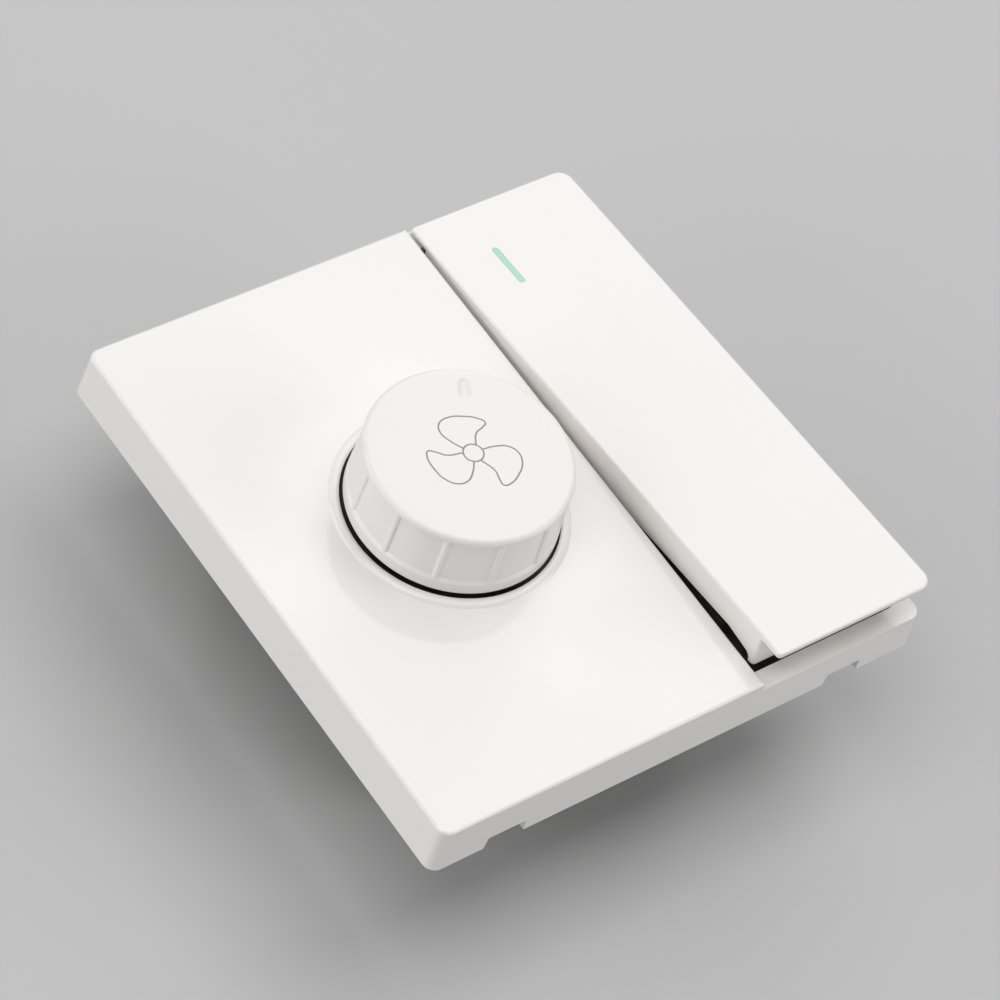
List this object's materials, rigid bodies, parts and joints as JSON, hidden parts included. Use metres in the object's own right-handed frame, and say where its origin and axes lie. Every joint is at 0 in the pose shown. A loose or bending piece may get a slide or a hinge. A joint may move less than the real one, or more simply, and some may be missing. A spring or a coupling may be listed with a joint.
{
  "type": "fan speed control switch",
  "caption": "Wall-plate fan speed control with a rotary speed knob on a phase-control regulator beside a long rocker switch, in a clip-on cover over a rear housing with wire clamps.",
  "frame": {"origin": "middle of the wall plate, in the plane of the wall behind the cover's rim", "axes": "+Z out of the wall towards the user, +Y up the plate's long side, +X to the right, from knob to rocker"},
  "size_m": [0.086, 0.09, 0.0451],
  "materials": {
    "black_plastic": "fine matt moulded",
    "black_resin": "moulded resin",
    "blue_glass": "sealed glass",
    "board_laminate": "paper laminate",
    "brass": "machined",
    "carbon_film": "printed film",
    "clear_glass": "clear",
    "contact_silver": "satin",
    "copper_strip": "rolled strip",
    "enamelled_wire": "enamelled",
    "ferrite": "sintered",
    "mint_lens": "satin translucent moulded",
    "plated_caps": "nickel plated",
    "red_case": "dipped case",
    "resistor_body": "lacquered",
    "shaft_metal": "turned",
    "sink_metal": "mill finish",
    "spring_steel": "drawn wire",
    "track_laminate": "paper laminate",
    "white_plastic": "high gloss moulded",
    "yellow_case": "moulded case",
    "zinc_steel": "zinc plated"
  },
  "bodies": {
    "base": {"front_cover": "white_plastic", "mounting_frame": "black_plastic", "rear_housing": "black_plastic", "housing_screws": "zinc_steel", "board_screws": "zinc_steel", "clamp_screws": "zinc_steel", "regulator_clamps": "brass", "switch_clamps": "brass", "common_contact": "copper_strip", "upper_contact": "copper_strip", "lower_contact": "copper_strip", "circuit_board": "board_laminate", "potentiometer_case": "zinc_steel", "potentiometer_bush": "brass", "potentiometer_washer": "zinc_steel", "potentiometer_nut": "zinc_steel", "potentiometer_pins": "zinc_steel", "track_disc": "track_laminate", "carbon_track": "carbon_film", "choke_core": "ferrite", "choke_winding": "enamelled_wire", "input_capacitor": "yellow_case", "timing_capacitor": "red_case", "heat_sink": "sink_metal", "heat_sink_screw": "zinc_steel", "heat_sink_nut": "zinc_steel", "triac": "black_resin", "resistors": "resistor_body", "trigger_diode": "blue_glass", "fuse_tube": "clear_glass", "fuse_caps": "plated_caps", "fuse_clips": "zinc_steel"},
    "knob": {"speed_knob": "white_plastic", "knob_spring_clip": "spring_steel", "potentiometer_shaft": "shaft_metal", "potentiometer_wiper": "black_resin"},
    "rocker": {"rocker_key": "white_plastic", "indicator_lens": "mint_lens", "rocker_carrier": "black_plastic", "plunger": "black_plastic", "plunger_spring": "spring_steel"},
    "seesaw": {"moving_contact": "copper_strip", "moving_rivets": "contact_silver"}
  },
  "joints": [
    {"name": "knob_turn", "type": "hinge", "parent": "base", "child": "knob", "pos_m": [-0.0102, 0, 0.012], "axis": [0, 0, 1], "range_deg": [-119, 181]},
    {"name": "rocker_tilt", "type": "hinge", "parent": "base", "child": "rocker", "pos_m": [0.0205, 0, 0.0066], "axis": [1, 0, 0], "range_deg": [0, 7.6]},
    {"name": "contact_tilt", "type": "hinge", "parent": "base", "child": "seesaw", "pos_m": [0.0205, 0, -0.0058], "axis": [1, 0, 0], "range_deg": [-14, 0]}
  ],
  "couplings": [
    {"joint": "contact_tilt", "follows": "rocker_tilt", "ratio": -1.84}
  ]
}
